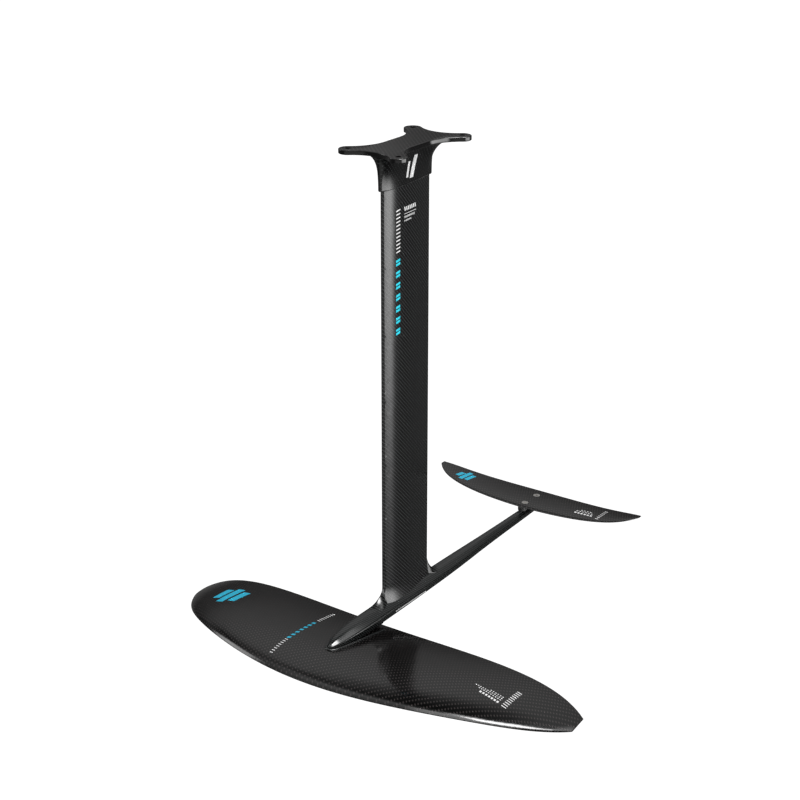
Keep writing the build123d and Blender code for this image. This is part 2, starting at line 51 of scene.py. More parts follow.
# %% [markdown]
# ## Colours and nodes
#
# A colour picked on a screen is an sRGB value, while the shader works with linear light, so one
# function turns a hex value into the four numbers that a socket wants.  A second one adds a
# shader node: it could be split into one helper a kind of node, but a single one reads the
# same for every kind.


# %% Two helpers
def srgb(code):
    """Linear colour of a hex value: c / 12.92 up to 0.04045, ((c + 0.055) / 1.055)^2.4 above."""
    parts = np.array([int(code[i:i + 2], 16) for i in (1, 3, 5)]) / 255
    linear = np.where(parts <= 0.04045, parts / 12.92, ((parts + 0.055) / 1.055) ** 2.4)
    return (*linear, 1.0)


def add_node(tree, kind, inputs=None, **settings):
    """One node of that kind: settings are its properties, inputs its sockets' values or links."""
    added = tree.nodes.new(kind)
    for name, value in settings.items():
        setattr(added, name, value)
    for socket, value in (inputs or {}).items():
        if isinstance(value, bpy.types.NodeSocket):
            tree.links.new(value, added.inputs[socket])
        else:
            added.inputs[socket].default_value = value
    return added


print("cyan is linear", [round(v, 3) for v in srgb("#10AFD0")])

# %% [markdown]
# ## The weave
#
# Carbon cloth is flat tows of black filament that pass over and under each other.  Under clear
# resin each tow is a little bright where it lies on top and dark where it dives.  An image of
# cloth would do, but a sum of cosines is exact at any distance: each cosine is one family of
# ribs, given by how many ribs there are per millimetre along each axis of the piece.


# %% One family of ribs after another
def weave_height(tree, ribs):
    """Height from -1 to 1: the weighted mean of cos(2 pi f . p), f being ribs per millimetre."""
    place = add_node(tree, "ShaderNodeTexCoord").outputs["Object"]
    total = None
    for vector, weight in ribs:
        turns = [2 * pi * part / MM for part in vector]
        phase = add_node(tree, "ShaderNodeVectorMath", {0: place, 1: turns},
                         operation="DOT_PRODUCT")
        wave = add_node(tree, "ShaderNodeMath", {0: phase.outputs["Value"]}, operation="COSINE")
        share = weight / sum(w for _, w in ribs)
        inputs = {0: wave.outputs[0], 1: share, 2: total or 0.0}
        total = add_node(tree, "ShaderNodeMath", inputs, operation="MULTIPLY_ADD").outputs[0]
    return total


def plain(name, colour, roughness, metallic=0.0):
    """A material of one colour."""
    material = bpy.data.materials.new(name)
    material.use_nodes = True
    shader = material.node_tree.nodes["Principled BSDF"]
    shader.inputs["Base Color"].default_value = srgb(colour)
    shader.inputs["Roughness"].default_value = roughness
    shader.inputs["Metallic"].default_value = metallic
    return material


def carbon(name, ribs, dark, light, roughness, low=-1.0):
    """Clear-coated carbon cloth: tows are dark up to the height low, and light on top."""
    material = plain(name, dark, roughness)
    tree = material.node_tree
    shader = tree.nodes["Principled BSDF"]
    height = weave_height(tree, ribs)
    level = add_node(tree, "ShaderNodeMapRange",
                     {"Value": height, "From Min": low, "From Max": 1.0})
    ends = {"Factor": level.outputs[0], 6: srgb(dark), 7: srgb(light)}      # 6 and 7 are colours
    tint = add_node(tree, "ShaderNodeMix", ends, data_type="RGBA")
    tree.links.new(tint.outputs[2], shader.inputs["Base Color"])
    print(f"{name}: {len(ribs)} families of ribs")
    return material


# %% [markdown]
# ## Carbon finishes
#
# The wings are a flat 2/1 twill, so light dots stand in rows that cross at three angles.  The
# mast is wrapped in cloth at 45 degrees, whose ribs climb aft, and the plate's top shows the same
# ribs seen flat.  The repeats are in millimetres.  Each base colour is nearly black, because
# what the eye takes for dark grey is the room in the clear coat, and only the top of each tow
# is light, so that it reads as a fine dot or a thin rib.

# %% Carbon cloth
WING_REPEAT, MAST_REPEAT = 10.0, 6.35        # ribs repeat along each axis, in millimetres
PLATE_REPEAT, FUSELAGE_REPEAT = 7.8, 4.8

# Three crossing rib families give the dotted look of flat twill under clear coat.
twill_flat = carbon(
    "clear_coated_flat_twill",
    [((1 / WING_REPEAT, 1 / WING_REPEAT, 0), 1.0),
     ((-1 / WING_REPEAT, 2 / WING_REPEAT, 0), 0.7),
     ((2 / WING_REPEAT, -1 / WING_REPEAT, 0), 0.7)],
    "#020202", "#3a3535", 0.14, low=0.2)
# One family of slanted ribs, as on cloth wrapped round the mast at 45 degrees.
twill_mast = carbon(
    "clear_coated_mast_twill",
    [((1 / MAST_REPEAT, 0, -1 / MAST_REPEAT), 1.0)],
    "#020202", "#363838", 0.19, low=0.4)
# The same ribs across the top of the plate, fainter, for it is pressed flat.
twill_plate = carbon(
    "clear_coated_plate_twill",
    [((1 / PLATE_REPEAT, -1 / PLATE_REPEAT, 0), 1.0)],
    "#010101", "#2e2b2b", 0.16, low=0.4)
# Both diagonals at once, where the cloth is draped over the collar.
twill_collar = carbon(
    "clear_coated_collar_twill",
    [((1 / MAST_REPEAT, 0, -1 / MAST_REPEAT), 1.0),
     ((-1 / MAST_REPEAT, 0, -1 / MAST_REPEAT), 0.8)],
    "#020202", "#303232", 0.19, low=0.3)
# A finer cloth, so that its ribs hardly show on the slim fuselage.
twill_fuselage = carbon(
    "clear_coated_fuselage_twill",
    [((1 / FUSELAGE_REPEAT, 0, -1 / FUSELAGE_REPEAT), 1.0)],
    "#020202", "#2c3030", 0.17, low=0.3)

# %% [markdown]
# ## What is inside, and what holds it together
#
# A foil is light because its skins are thin and its cores are foam.  The cores only show when
# the pieces are taken apart, yet each has its own colour.  The blocks that the screws clamp are
# solid pressed carbon, the shim is nylon, and screws and inserts are stainless steel.

# %% Plain finishes, and which node takes which
foam = plain("closed_cell_foam", "#D9CDB4", 0.9)                    # pale, dry and dull
pressed = plain("pressed_carbon_block", "#1A1A1A", 0.45)            # grey-black with a soft sheen
nylon = plain("moulded_nylon", "#202020", 0.55)                     # matt black
steel = plain("stainless_steel_turned", "#C9C7C3", 0.28, 1.0)       # bright, with a broad gleam
white_ink = plain("printed_white_ink", "#F2F2F2", 0.4)              # flat white under clear coat
cyan_ink = plain("printed_cyan_ink", "#10AFD0", 0.4)                # flat cyan, not quite bright
lit_mast_ink = plain("printed_cyan_ink_painted_lit", "#10E2F8", 0.4)         # the same cyan ink, painted lighter for the brighter light on the mast's side

FINISHES = {
    twill_plate: ("head_plate",),
    twill_mast: ("mast_shell_port", "mast_shell_starboard", "mast_foot"),
    twill_fuselage: ("fuselage_shell_port", "fuselage_shell_starboard", "fuselage_nose"),
    twill_flat: ("wing_skin_top", "wing_skin_bottom", "wing_mount_block",
                 "stabiliser_skin_top", "stabiliser_skin_bottom"),
    pressed: ("stabiliser_mount_block", "tail_block"),
    foam: ("mast_core", "fuselage_core", "wing_core", "stabiliser_core"),
    nylon: ("stabiliser_shim",),
    steel: ("wing_inserts", "tail_inserts", "wing_screws", "stabiliser_screws"),
}
for finish, names in FINISHES.items():
    for name in names:
        node_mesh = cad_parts[name].data
        node_mesh.materials.clear()
        node_mesh.materials.append(finish)
dressed = sum(len(names) for names in FINISHES.values())
print(dressed, "of", len(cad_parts), "nodes have a finish")

# %% [markdown]
# ## A skin through rings of points
#
# Every outer skin here is made the way a laminator lays cloth over a plug: one section after
# another.  A skin is an array of rings in millimetres, and neighbouring rings are joined by
# four-sided faces, all with whole arrays.  The sign of the enclosed volume tells whether the
# faces look outwards.


# %% Rings to a closed mesh
SHARP_ANGLE = 38.0                           # degrees; a steeper edge stays a crease


def skin(name, rings, body, finish, stands_for=()):
    """Closed surfaces through rings[..., ring, point, 3], each end shut by a fan to its mean.

    The volume is the sum of a . (b x c) / 6 over the triangles, and is positive when faces look
    outwards.
    """
    rings = rings.reshape(-1, *rings.shape[-3:])
    copies, count, around = rings.shape[:3]
    hubs = rings[:, [0, -1]].mean(axis=2)
    size = count * around + 2
    points = np.concatenate([rings.reshape(copies, -1, 3), hubs], axis=1).reshape(-1, 3) * MM
    here = np.arange(around)
    following = (here + 1) % around
    row = np.arange(count - 1)[:, None] * around
    sides = np.stack([row + here, row + following,
                      row + around + following, row + around + here], -1).reshape(-1, 4)
    last = (count - 1) * around
    first_hub, last_hub = np.full_like(here, size - 2), np.full_like(here, size - 1)
    fans = np.concatenate([np.stack([following, here, first_hub], -1),
                           np.stack([last + here, last + following, last_hub], -1)])
    corners = np.concatenate([sides[:, [0, 1, 2]], sides[:, [0, 2, 3]], fans])
    a, b, c = np.moveaxis(points[corners], 1, 0)
    inside_out = np.einsum("ij,ij->", a, np.cross(b, c)) < 0
    offsets = (np.arange(copies) * size)[:, None, None]
    faces = (sides + offsets).reshape(-1, 4).tolist() + (fans + offsets).reshape(-1, 3).tolist()
    mesh = bpy.data.meshes.new(name)
    mesh.from_pydata(points, [], faces)
    if inside_out:
        mesh.flip_normals()
    return finished(name, mesh, body, finish, stands_for)


def finished(name, mesh, body, finish, stands_for=()):
    """The object of a mesh: smooth but for its corners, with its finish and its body."""
    mesh.validate()
    mesh.shade_smooth()
    mesh.set_sharp_from_angle(angle=radians(SHARP_ANGLE))
    mesh.materials.append(finish)
    piece = bpy.data.objects.new(name, mesh)
    bpy.context.scene.collection.objects.link(piece)
    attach(piece, body)
    if stands_for:
        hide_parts(*stands_for)
    print(f"{name}: {len(mesh.polygons)} faces on {body}")
    return piece


# %% [markdown]
# ## The aerofoil and the mast's sizes
#
# The mast's section is a symmetrical aerofoil, round in front and thin behind, so that it slips
# through the water.  The same formula gives the collar above it and the foot below, and so all
# three run into each other without a step.

# %% Sizes in millimetres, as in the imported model
MAST_LE_X = 62.4
MAST_CHORD = 124.0
MAST_HALF_T = 7.8
MAST_TE_X = MAST_LE_X - MAST_CHORD
CROWN_Z = -735.0
SEAM_X, NOSE_X, TAIL_X = 84.0, 204.0, -432.0


def foil(share):
    """Half thickness over full thickness at a share s of the chord, with a closed sharp tail.

    5 (0.2969 s^0.5 - 0.126 s - 0.3516 s^2 + 0.2843 s^3 - 0.1015 s^4)
    """
    curve = 0.2969 * np.sqrt(share) - 0.1260 * share - 0.3516 * share**2
    return 5 * (curve + 0.2843 * share**3 - 0.1015 * share**4)


print("mast a third along its chord:", round(4 * MAST_HALF_T * float(foil(1 / 3)), 2), "mm thick")

# %% [markdown]
# ## Fuselage and nose
#
# The fuselage is an eight-sided tube with softened edges, moulded in two halves, and its nose is
# a solid block that plugs into the wing.  Each corner of the section is rounded by a small
# parabola between its two facets, so that a facet stays flat and its edge carries a highlight.

# %% Their sections
FUSE_HALF_W, TAIL_HALF_W = 17.0, 8.5
FUSE_DEPTH, TAIL_DEPTH = 28.5, 12.4
CROWN_SHARE, KEEL_SHARE = 0.4, 0.55          # flat crown and flat keel over the width
SHOULDER_SHARE, CHINE_SHARE = 0.36, 0.26     # upper and lower facets over the depth
DEPTH_BEND = 0.7
WAIST_AT, WAIST_RATE = 0.465, 0.085          # where the fuselage widens, and over what length
EDGE_SOFTNESS = 0.26                         # share of the shorter facet that an edge takes up
EDGE_POINTS = 6
NOSE_STEP = 1.5
NOSE_BEND = 3.2
NOSE_CROWN_SHARE, NOSE_KEEL_SHARE = 0.58, 0.4
FUSE_STATIONS, NOSE_STATIONS = 90, 60


def fuselage_half_width(x):
    """tail + (seam - tail) / (1 + exp((waist - s) / rate)) at a share s of the length."""
    share = (x - TAIL_X) / (SEAM_X - TAIL_X)
    widened = 1 + np.exp((WAIST_AT - share) / WAIST_RATE)
    return TAIL_HALF_W + (FUSE_HALF_W - TAIL_HALF_W) / widened


def eight_sided(x, half_w, top, keel):
    """Rings with rounded edges: (1-t)^2 a + 2t(1-t) corner + t^2 b, a and b being beside it."""
    height = top - keel
    port_y = np.stack([CROWN_SHARE * half_w, half_w, half_w, KEEL_SHARE * half_w], axis=-1)
    port_z = np.stack([top, top - SHOULDER_SHARE * height, keel + CHINE_SHARE * height, keel],
                      axis=-1)
    corner = np.stack([np.concatenate([port_y, -port_y[:, ::-1]], axis=1),
                       np.concatenate([port_z, port_z[:, ::-1]], axis=1)], axis=-1)
    to_last, to_next = np.roll(corner, 1, axis=1) - corner, np.roll(corner, -1, axis=1) - corner
    run_last, run_next = (np.linalg.norm(v, axis=-1, keepdims=True) for v in (to_last, to_next))
    reach = EDGE_SOFTNESS * np.minimum(run_last, run_next)
    a = (corner + reach * to_last / run_last)[:, :, None]
    b = (corner + reach * to_next / run_next)[:, :, None]
    t = np.linspace(0, 1, EDGE_POINTS)[:, None]
    rounded = (1 - t)**2 * a + 2 * t * (1 - t) * corner[:, :, None] + t**2 * b
    section = rounded.reshape(len(x), -1, 2)
    lengths = np.broadcast_to(x[:, None, None], (*section.shape[:2], 1))
    return np.concatenate([lengths, section], axis=-1)


lengths = np.linspace(TAIL_X, SEAM_X, FUSE_STATIONS)
forward = (lengths - TAIL_X) / (SEAM_X - TAIL_X)
depth = TAIL_DEPTH + (FUSE_DEPTH - TAIL_DEPTH) * forward**DEPTH_BEND
crown = np.full_like(lengths, CROWN_Z)
skin("fuselage_skin", eight_sided(lengths, fuselage_half_width(lengths), crown, crown - depth),
     "mast", twill_fuselage, ("fuselage_shell_port", "fuselage_shell_starboard"))

# %% The nose narrows as the square root of 1 - s^3.2
share = np.sin(np.linspace(0, pi / 2, NOSE_STATIONS))[:-1]
narrow = np.sqrt(1 - share**NOSE_BEND)
lost = (FUSE_DEPTH + NOSE_STEP) * (1 - narrow)
skin("fuselage_nose_skin",
     eight_sided(SEAM_X + (NOSE_X - SEAM_X) * share, FUSE_HALF_W * narrow,
                 CROWN_Z - NOSE_CROWN_SHARE * lost,
                 CROWN_Z - FUSE_DEPTH - NOSE_STEP + NOSE_KEEL_SHARE * lost),
     "mast", twill_fuselage, ("fuselage_nose",))

# %% [markdown]
# ## The foot of the mast
#
# Where the mast meets the fuselage the laminate runs out in a smooth fillet, long in front and
# behind and short at the sides.  It could be one round radius, but water would break away there,
# so the fillet is part of an ellipse that changes with the direction in which it looks.

# %% A fillet swept round the mast's section
FOOT_TOP_Z = -650.0
NOSE_RUN, NOSE_RISE = 38.0, 33.0     # how far the fillet runs forward, and how high it starts
TAIL_RUN, TAIL_RISE = 30.0, 33.0
SIDE_RUN, SIDE_RISE = 3.4, 28.0      # at the sides it only leans out a little
SIDE_END = radians(13)               # and lands on the upper facets at this slope
SINK = 3.0                           # how far the skin goes on below where it lands
SIDE_POINTS, CORNER_POINTS, FILLET_POINTS = 60, 9, 24


def foot_rings():
    """Rings p + n run (1 - cos a) / (1 - cos last) at z0 - rise sin a / sin last.

    n looks outwards from the mast's section.  run, rise and the last a blend from the side's
    values to the end's by n's x to the fourth.
    """
    turn = np.linspace(0, pi, SIDE_POINTS)
    share = (1 - np.cos(turn)) / 2
    x, y = MAST_LE_X - MAST_CHORD * share, 2 * MAST_HALF_T * foil(share)
    slope_x, slope_y = np.gradient(x, turn), np.gradient(y, turn)
    angle = np.arctan2(-slope_x, slope_y)
    angle[0] = 0.0
    corner = np.linspace(angle[-1], pi, CORNER_POINTS)[1:]
    x = np.concatenate([x, np.full(CORNER_POINTS - 1, x[-1])])
    y = np.concatenate([y, y[-1] * np.linspace(1, 0, CORNER_POINTS)[1:]])
    angle = np.concatenate([angle, corner])
    x, y = np.concatenate([x, x[-2:0:-1]]), np.concatenate([y, -y[-2:0:-1]])
    angle = np.concatenate([angle, -angle[-2:0:-1]])
    normal = np.stack([np.cos(angle), np.sin(angle)], axis=-1)
    end = normal[:, 0]**4
    forward = normal[:, 0] > 0
    run = SIDE_RUN + (np.where(forward, NOSE_RUN, TAIL_RUN) - SIDE_RUN) * end
    rise = SIDE_RISE + (np.where(forward, NOSE_RISE, TAIL_RISE) - SIDE_RISE) * end
    last = SIDE_END + (pi / 2 - SIDE_END) * end
    run, rise = run / (1 - np.cos(last)), rise / np.sin(last)
    foot = np.stack([x, y], axis=-1)
    landing = np.abs((foot + normal * (run * (1 - np.cos(last)))[:, None])[:, 1])
    facet = CROWN_SHARE * FUSE_HALF_W
    slope = SHOULDER_SHARE * FUSE_DEPTH / (FUSE_HALF_W - facet)
    start_z = CROWN_Z - slope * np.maximum(landing - facet, 0) + rise * np.sin(last)
    swept = np.linspace(0, 1, FILLET_POINTS)[:, None] * last
    out = run * (1 - np.cos(swept))
    flat = foot + normal * out[..., None]
    fillet = np.concatenate([flat, (start_z - rise * np.sin(swept))[..., None]], axis=-1)
    top = np.concatenate([foot, np.full((len(foot), 1), FOOT_TOP_Z)], axis=-1)[None]
    sunk = fillet[-1:] - [0, 0, SINK]
    return np.concatenate([top, fillet, sunk])


skin("mast_foot_fillet", foot_rings(), "mast", twill_mast, ("mast_foot",))

# %% [markdown]
# ## The board plate
#
# The plate is one pressed carbon part with four arms, drilled for the board's four screws.  Its
# outline is arcs that touch: a round pad about each hole, a deep scallop along each side and a
# shallow one at each end.  Its rim is rounded, because bare hands carry it.

# %% Its outline
HOLE_X, HOLE_Y = 82.5, 45.0
HOLE_R, SINK_R = 4.25, 8.5
PAD_R = 14.0
PLATE_T = 7.3
RIM_R = 1.2
WAIST_HALF_Y, WAIST_FLAT, WAIST_HALF_X = 26.0, 20.0, 80.0
ARC_POINTS, RIM_POINTS, HOLE_POINTS = 22, 6, 40


def scallop_radius(gap_x, gap_y):
    """(gx^2 + gy^2 - r^2) / (2 (gy + r)): the arc that leaves a waist level and touches a pad."""
    return (gap_x**2 + gap_y**2 - PAD_R**2) / (2 * (gap_y + PAD_R))


def arc(centre, radius, start, end):
    """Points of an arc between two angles, the last one left out."""
    angle = np.linspace(start, end, ARC_POINTS, endpoint=False)[:, None]
    return np.array(centre) + radius * np.concatenate([np.cos(angle), np.sin(angle)], axis=1)


def plate_outline():
    """Points round the plate, from the middle of its port side, clockwise seen from above."""
    side_r = scallop_radius(HOLE_X - WAIST_FLAT, HOLE_Y - WAIST_HALF_Y)
    end_r = scallop_radius(HOLE_Y, HOLE_X - WAIST_HALF_X)
    side_centre = (WAIST_FLAT, WAIST_HALF_Y + side_r)
    end_centre = (WAIST_HALF_X + end_r, 0)
    from_side = np.arctan2(HOLE_Y - side_centre[1], HOLE_X - side_centre[0])
    from_end = np.arctan2(HOLE_Y, HOLE_X - end_centre[0])
    quarter = np.concatenate([
        [(0, WAIST_HALF_Y)],
        arc(side_centre, side_r, -pi / 2, from_side),
        arc((HOLE_X, HOLE_Y), PAD_R, from_side + pi, from_end - pi),
        arc(end_centre, end_r, from_end, pi)])
    bow = np.concatenate([quarter, [(WAIST_HALF_X, 0)], (quarter * [1, -1])[:0:-1]])
    return np.concatenate([bow, -bow])


outline = plate_outline()
print("plate outline:", len(outline), "points,", np.ptp(outline, axis=0).round(1), "mm")

# %% [markdown]
# The plate's rim is a stack of rings, drawn in at the top and at the bottom.  Each hole is a
# short stack of circles that opens downwards for the screw's head.  The two flat faces between
# them are filled by triangles.


# %% The plate itself
def inset(loop, distance):
    """The loop moved inwards by a distance along the normals of its neighbours' chords."""
    chord = np.roll(loop, -1, axis=0) - np.roll(loop, 1, axis=0)
    inward = np.stack([chord[:, 1], -chord[:, 0]], axis=-1)
    inward /= np.linalg.norm(inward, axis=1, keepdims=True)
    return loop + distance * inward


def stack(loops, heights):
    """One array of rings from flat loops and their heights."""
    return np.stack([np.concatenate([loop, np.full((len(loop), 1), z)], axis=1)
                     for loop, z in zip(loops, heights)])


def walls(rings, first):
    """Faces between neighbouring rings whose points are numbered from first."""
    count, around = rings.shape[:2]
    here = np.arange(around)
    following = (here + 1) % around
    row = first + np.arange(count - 1)[:, None] * around
    return np.stack([row + here, row + following,
                     row + around + following, row + around + here], -1).reshape(-1, 4)


def level_face(points, loops, up):
    """Triangles between an outline and its holes, given as arrays of point numbers."""
    rings = [[Vector(p) for p in points[loop]] for loop in loops]
    corners = np.concatenate(loops)[np.array(geometry.tessellate_polygon(rings))]
    a, b, c = np.moveaxis(points[corners], 1, 0)
    turned = np.cross(b - a, c - a)[:, 2] * up < 0
    corners[turned] = corners[turned][:, ::-1]
    return corners


def plate_mesh():
    """The plate: rim rings, four stacks of hole circles and two flat faces."""
    round_off = np.linspace(0, pi / 2, RIM_POINTS)
    drawn_in = RIM_R * (1 - np.sin(round_off))
    rise = RIM_R * (1 - np.cos(round_off))
    insets = np.concatenate([drawn_in, drawn_in[::-1]])
    heights = np.concatenate([rise - PLATE_T, -rise[::-1]])
    stacks = [stack([inset(outline, d) for d in insets], heights)]
    turn = np.linspace(0, 2 * pi, HOLE_POINTS, endpoint=False)
    circle = np.stack([np.cos(turn), np.sin(turn)], axis=1)
    for x, y in ((HOLE_X, HOLE_Y), (-HOLE_X, HOLE_Y), (-HOLE_X, -HOLE_Y), (HOLE_X, -HOLE_Y)):
        radii = (HOLE_R, HOLE_R, SINK_R)
        drops = (0, HOLE_R - PLATE_T, -PLATE_T)
        stacks.append(stack([[x, y] + r * circle for r in radii], drops))
    firsts = np.cumsum([0] + [s.shape[0] * s.shape[1] for s in stacks])
    points = np.concatenate([s.reshape(-1, 3) for s in stacks])
    sides = [walls(s, first) for s, first in zip(stacks, firsts)]
    rim_last = (len(insets) - 1) * len(outline)
    tops = [np.arange(len(outline)) + rim_last] + [np.arange(HOLE_POINTS) + f for f in firsts[1:5]]
    bottoms = [np.arange(len(outline))] + [np.arange(HOLE_POINTS) + 2 * HOLE_POINTS + f
                                          for f in firsts[1:5]]
    faces = [level_face(points, tops, 1), level_face(points, bottoms, -1)]
    sides[0] = sides[0][:, ::-1]
    mesh = bpy.data.meshes.new("board_plate")
    mesh.from_pydata(points * MM, [], [f for part in sides + faces for f in part.tolist()])
    return mesh


board_plate = finished("board_plate", plate_mesh(), "mast", twill_plate,
                       ("head_plate",))

# %% A bare rim
# Where the plate is trimmed its cut edge is sealed with resin: black, smooth and very glossy.
FLAT_ENOUGH = 0.9
sealed = plain("resin_sealed_edge", "#060606", 0.12)
board_plate.data.materials.append(sealed)
normals = np.empty(3 * len(board_plate.data.polygons), dtype=np.float32)
board_plate.data.polygons.foreach_get("normal", normals)
edge = np.abs(normals[2::3]) < FLAT_ENOUGH
board_plate.data.polygons.foreach_set("material_index", edge.astype(np.int32))
print("rim:", int(edge.sum()), "of", len(edge), "faces")

# %% [markdown]
# ## The collar
#
# Under the plate the collar spreads from the mast's slim section to the four arms, so that the
# load runs out into all of them.  Two closed curves share one angle: the mast's section grown by
# a laminate, and a four-lobed curve under the plate.  The skin goes from one to the other, slowly
# at first and steeply at the end.

# %% Between the mast's section and the four arms
COLLAR_H = 62.0
COLLAR_NOSE, COLLAR_TAIL, COLLAR_SIDE = 5.4, 6.2, 1.4
LOBE_AT = radians(37)                # where the arms stand, on the curves' shared angle
LOBE_WIDTH = radians(17)
LOBE_X, LOBE_Y = 80.0, 58.0
LOBE_WAIST, LOBE_HEIGHT = 0.45, 0.54
COLLAR_REACH = 0.85
COLLAR_CUT = 0.985
BEND_MEAN, BEND_FORE = 0.3, 0.1
COLLAR_RINGS, COLLAR_POINTS = 48, 160
LIP = 1.3                            # height of the joint, and how far it steps in
LIP_HALF_X, LIP_HALF_Y = 70.0, 10.0  # the section's half sizes there, rounded
COLLAR_MID_X = (MAST_LE_X + COLLAR_NOSE + MAST_TE_X - COLLAR_TAIL) / 2


def collar_point(turn, t):
    """Point at angle a and share t of the height: section + (lobes - section) reach.

    lobes = (X m cos a, Y m sin a), m = w + (1 - w) cos^2 a + h exp(-((a' - lobe) / width)^2), a'
    being a folded into one quarter, and reach = r (1 - (1 - (c t)^2)^bend), where the cut c keeps
    the last ring short of a level skin.
    """
    half = (MAST_LE_X + COLLAR_NOSE - MAST_TE_X + COLLAR_TAIL) / 2
    share = (1 - np.cos(turn)) / 2
    side = np.sign(np.sin(turn))
    x = COLLAR_MID_X + half * np.cos(turn)
    y = side * 2 * (MAST_HALF_T + COLLAR_SIDE) * foil(share)
    folded = np.arctan2(np.abs(np.sin(turn)), np.abs(np.cos(turn)))
    lobe = np.exp(-((folded - LOBE_AT) / LOBE_WIDTH)**2)
    m = LOBE_WAIST + (1 - LOBE_WAIST) * np.cos(turn)**2 + LOBE_HEIGHT * lobe
    bend = BEND_MEAN - BEND_FORE * np.cos(turn)
    reach = COLLAR_REACH * (1 - (1 - (COLLAR_CUT * t)**2)**bend)
    x = x + (LOBE_X * m * np.cos(turn) - x) * reach
    y = y + (LOBE_Y * m * np.sin(turn) - y) * reach
    z = -COLLAR_H + (COLLAR_H - PLATE_T) * t + 0 * turn
    return np.stack([x, y, z], axis=-1)


around = np.linspace(0, 2 * pi, COLLAR_POINTS, endpoint=False)
up = np.sin(np.linspace(0, pi / 2, COLLAR_RINGS))[:, None]
collar = collar_point(around, up)
lip = collar[:1] * [1 - LIP / LIP_HALF_X, 1 - LIP / LIP_HALF_Y, 1]
collar[0, :, 2] += LIP
buried = collar[-1:] + [0, 0, PLATE_T / 2]
collar_skin = skin("collar_skin", np.concatenate([lip, collar, buried]), "mast",
                   twill_collar)

# %% Painted shade along the collar's lower edge
seam_shade = plain("collar_step_painted_shade", "#050505", 0.8)                         # painted shade in the stepped joint: black, dull
collar_skin.data.materials.append(seam_shade)
# The first row of faces, the stepped-in lip, is painted black as the shade in the joint's step.
first_row = np.arange(len(collar_skin.data.polygons)) < COLLAR_POINTS
collar_skin.data.polygons.foreach_set("material_index", first_row.astype(np.int32))
print("seam:", int(first_row.sum()), "faces,", LIP, "mm high")

# %% [markdown]
# ## Printed marks
#
# A foil carries scales and lettering, printed under the clear coat.  Here they are plain bars
# and ticks with no words.  Each is a little slab that follows its surface and stands a tenth of
# a millimetre proud, so that it hides no weave beyond its own edge.

# %% The surfaces that carry the marks
WING = dict(half_span=371.0, le_x=279.3, chord=211.4, ref_z=CROWN_Z - 37.5, thick=0.124,
            thick_tip=0.099, camber=0.024, washout=6.4, sweep=147.0, tip_round=33.0,
            te_sweep=24.0, te_tip=19.5, curve=10.7, curve_tip=37.4)
STABILISER = dict(half_span=206.0, le_x=-358.5, chord=78.9, ref_z=CROWN_Z + 6.3, thick=0.111,
                  thick_tip=0.089, camber=0.0, washout=0.0, sweep=30.0, tip_round=22.0,
                  te_sweep=-8.4, te_tip=8.0, curve=-3.3, curve_tip=-11.0)
CAMBER_PEAK, TWIST_AXIS = 0.4, 0.3   # shares of the chord
TIP_POWER = 10                       # keeps the rounding to the very tip


def blade_top(w, x, y):
    """Top of a blade at (x, y), with s the share of its half span and c the share of its chord.

    le = le_x - sweep s^2 - tip_round s^10, te = le_x - chord - te_sweep s^2 + te_tip s^10, and
    the blade bends down by curve s^2 + curve_tip s^4.  The camber line is (2 p c - c^2) / p^2
    before its peak p and (1 - 2 p + 2 p c - c^2) / (1 - p)^2 behind it.  Washout turns each
    section about the twist axis.
    """
    out = np.abs(y) / w["half_span"]
    le_x = w["le_x"] - w["sweep"] * out**2 - w["tip_round"] * out**TIP_POWER
    te_x = w["le_x"] - w["chord"] - w["te_sweep"] * out**2 + w["te_tip"] * out**TIP_POWER
    chord = le_x - te_x
    twist = np.radians(w["washout"]) * out**2
    aft = (le_x - TWIST_AXIS * chord - x) / np.cos(twist)
    share = np.clip(aft / chord + TWIST_AXIS, 0, 1)
    before = (2 * CAMBER_PEAK * share - share**2) / CAMBER_PEAK**2
    after = (1 - 2 * CAMBER_PEAK + 2 * CAMBER_PEAK * share - share**2) / (1 - CAMBER_PEAK)**2
    line = np.where(share < CAMBER_PEAK, before, after)
    thick = w["thick"] + (w["thick_tip"] - w["thick"]) * out**2
    rise = chord * (w["camber"] * line + thick * foil(share)) + aft * np.sin(twist)
    z = w["ref_z"] - w["curve"] * out**2 - w["curve_tip"] * out**4 + rise
    return np.stack([x, y, z], axis=-1)


def wing_top(x, y):
    """The front wing's upper surface."""
    return blade_top(WING, x, y)


def stabiliser_top(x, y):
    """The stabiliser's upper surface."""
    return blade_top(STABILISER, x, y)


def mast_port(x, z):
    """The mast's port side, 2 half_t foil((le - x) / chord)."""
    return np.stack([x, 2 * MAST_HALF_T * foil((MAST_LE_X - x) / MAST_CHORD), z], axis=-1)


def collar_port(x, z):
    """The collar's port side; its angle follows from x as it does on the mast."""
    turn = np.arccos((x - COLLAR_MID_X) / (MAST_LE_X + COLLAR_NOSE - COLLAR_MID_X))
    return collar_point(turn, (z + COLLAR_H) / (COLLAR_H - PLATE_T))


def fuselage_port(x, z):
    """The fuselage's upright port facet."""
    return np.stack([x, fuselage_half_width(x), z], axis=-1)


print("wing's top over its root:", wing_top(np.array(180.0), np.array(0.0)).round(1))

# %% Slabs that follow a surface
PROUD, SUNK = 0.1, 0.3               # above the surface and below it
ALONG, ACROSS = 6, 5                 # points each way on one mark
PROBE = 0.01                         # step along the surface to find its normal


def bars(start, end, count, near, far, fill=0.55, slant=0.0):
    """Corners (bar, corner, 2) of evenly spaced bars between start and end, from near to far.

    A bar fills a share of its pitch, and its far end is shifted by the slant.
    """
    pitch = (end - start) / count
    first = start + pitch * np.arange(count)[:, None]
    along = first + pitch * fill * np.array([0, 1, 1, 0]) + slant * np.array([0, 0, 1, 1])
    across = np.broadcast_to(np.array([near, near, far, far], dtype=float), along.shape)
    return np.stack([along, across], axis=-1)


